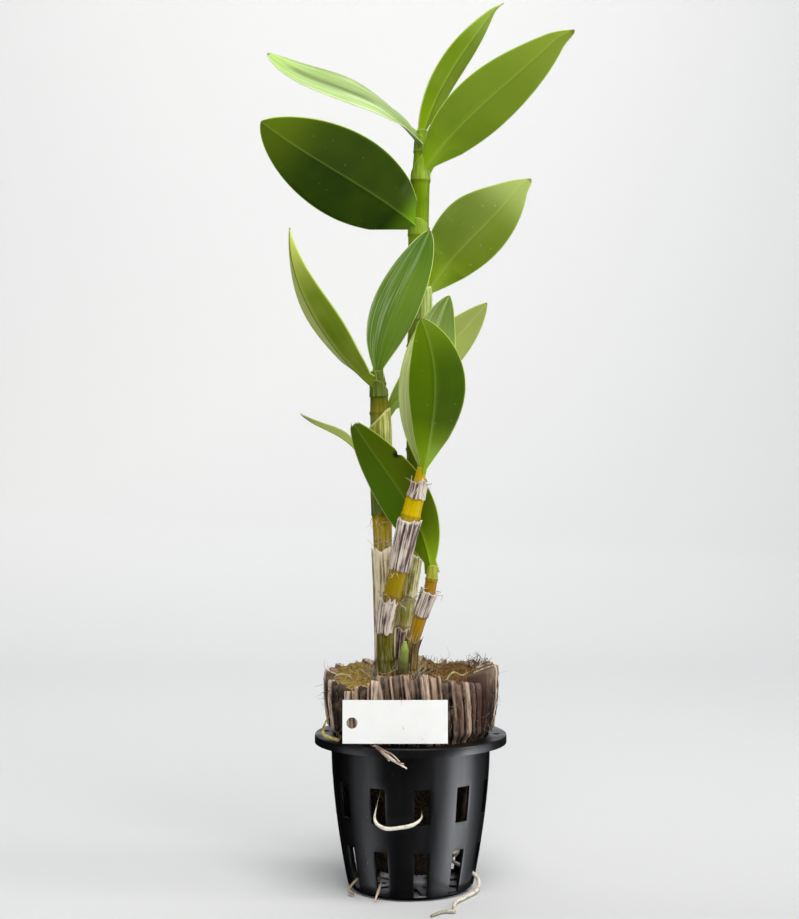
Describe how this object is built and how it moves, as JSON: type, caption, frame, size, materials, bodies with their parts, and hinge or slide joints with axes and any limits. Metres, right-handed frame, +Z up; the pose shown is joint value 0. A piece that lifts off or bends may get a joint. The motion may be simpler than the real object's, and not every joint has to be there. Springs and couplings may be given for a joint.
{
  "type": "potted orchid plant",
  "caption": "Standing potted orchid: jointed leafy canes rising from husk and bark in a tapered, slotted black plastic net pot, with aerial roots and a plain name card.",
  "frame": {"origin": "centre of the pot's flat base, on the surface that it stands on", "axes": "+Z up along the pot's axis, -Y towards the front, where the name card stands, +X to the right seen from the front"},
  "size_m": [0.1557, 0.1104, 0.4672],
  "materials": {
    "net_pot": "black, satin",
    "husk": "dry coconut husk, fibrous",
    "coir": "golden brown coir and moss",
    "cane": "waxy, olive to straw yellow",
    "shoot": "waxy, light green",
    "leaf": "smooth, half gloss, olive green",
    "dry_sheath": "dry and papery, streaked brown",
    "root": "cream, matt",
    "name_card": "white, matt"
  },
  "bodies": {
    "root": {"net_pot": "net_pot", "coir_core": "coir", "husk_front_1": "husk", "husk_front_2": "husk", "husk_front_3": "husk", "husk_front_4": "husk", "husk_front_5": "husk", "husk_front_6": "husk", "husk_front_7": "husk", "husk_front_8": "husk", "bark_right_1": "husk", "bark_right_2": "husk", "bark_right_3": "husk", "husk_back_1": "husk", "husk_back_2": "husk", "husk_back_3": "husk", "husk_back_4": "husk", "husk_back_5": "husk", "husk_left_1": "husk", "husk_left_2": "husk", "husk_left_3": "husk", "rhizome": "root", "new_shoot": "shoot", "root_front_loop": "root", "root_over_rim": "root", "root_rim_left": "root", "root_floor": "root", "root_window_front": "root", "root_window_right": "root", "root_stub_left": "root", "rootlets_top_left": "root", "rootlets_top_right": "root", "cane_tall": "cane", "sheath_tall_upper": "dry_sheath", "sheath_tall_lower": "dry_sheath", "leaf_tall_a": "leaf", "leaf_tall_b": "leaf", "leaf_tall_c": "leaf", "leaf_tall_d": "leaf", "leaf_tall_e": "leaf", "cane_left": "cane", "sheath_left_papery": "dry_sheath", "leaf_left_l": "leaf", "leaf_left_c": "leaf", "leaf_left_r": "leaf", "leaf_left_t": "leaf", "cane_front": "cane", "sheath_front_top": "dry_sheath", "sheath_front_striped": "dry_sheath", "sheath_front_lower": "dry_sheath", "leaf_front_f": "leaf", "leaf_front_b": "leaf", "cane_short": "cane", "sheath_short_upper": "dry_sheath", "sheath_short_lower": "dry_sheath", "leaf_short_s": "leaf", "name_card": "name_card"}
  },
  "joints": []
}
